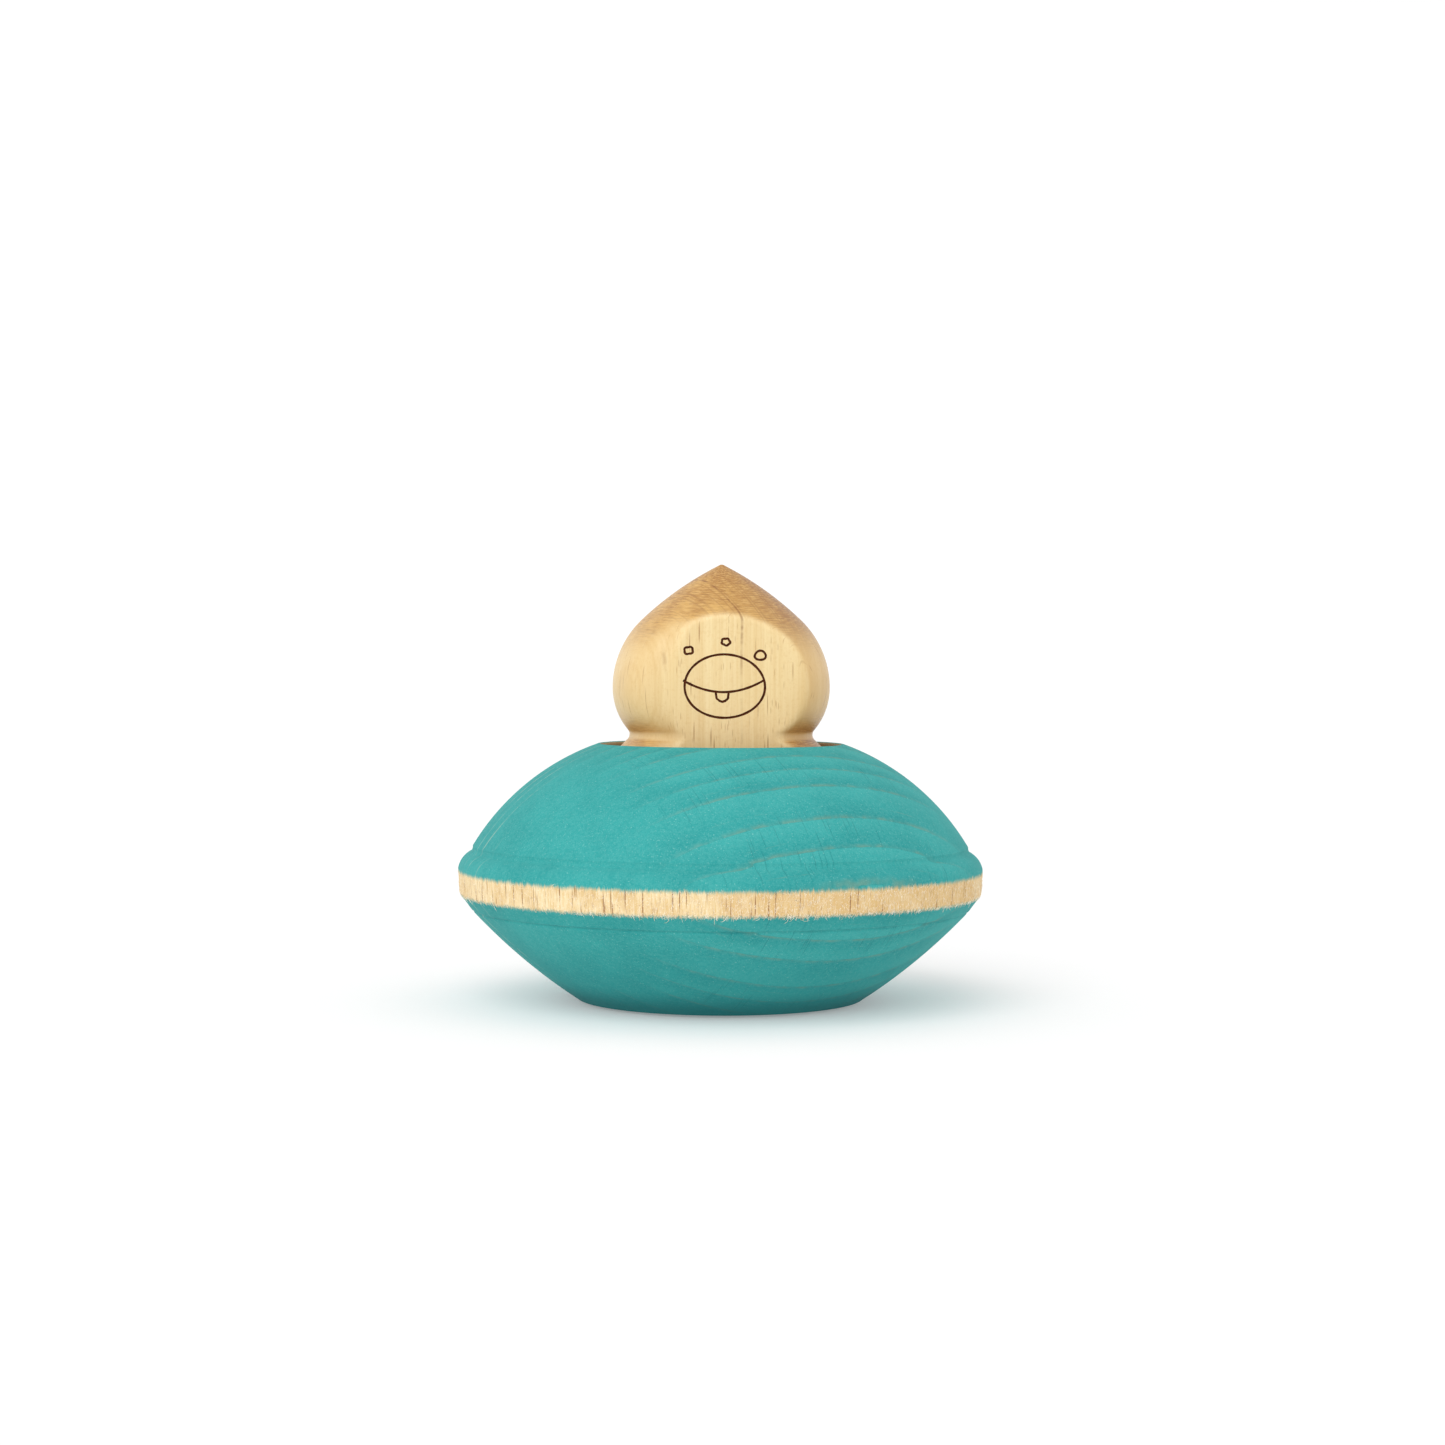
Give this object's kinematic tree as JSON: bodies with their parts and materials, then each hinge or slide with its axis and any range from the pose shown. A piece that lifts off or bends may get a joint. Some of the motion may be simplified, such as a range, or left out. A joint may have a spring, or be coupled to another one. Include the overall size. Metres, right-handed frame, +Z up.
{
  "type": "spinning top",
  "caption": "Turned wooden spinning top shaped like a flying saucer, with a lift-out pilot whose flat-sided head is the finger grip.",
  "frame": {"origin": "on the spin axis, at the lowest point of the spin tip", "axes": "+Z up along the spin axis; the pilot's face looks along -Y; +X to the right of someone looking at the face"},
  "size_m": [0.08, 0.08, 0.0666],
  "materials": {
    "stained_beech": "matte teal water stain, skimmed off to bare wood in a band round the rim",
    "hardwood_tip": "waxed, polished by wear",
    "bare_beech": "unfinished, smooth turned",
    "lacquered_beech": "satin clear lacquer, with burned lines on the front flat"
  },
  "bodies": {
    "flywheel": {"saucer": "stained_beech", "spin_tip": "hardwood_tip"},
    "peg": {"pilot_peg": "bare_beech"},
    "pilot": {"pilot": "lacquered_beech"}
  },
  "joints": [
    {"name": "pilot_turn", "type": "hinge", "parent": "flywheel", "child": "peg", "pos_m": [0, 0, 0.02835], "axis": [0, 0, 1], "continuous": true},
    {"name": "pilot_lift", "type": "slide", "parent": "peg", "child": "pilot", "axis": [0, 0, 1], "range_m": [0, 0.03]}
  ]
}
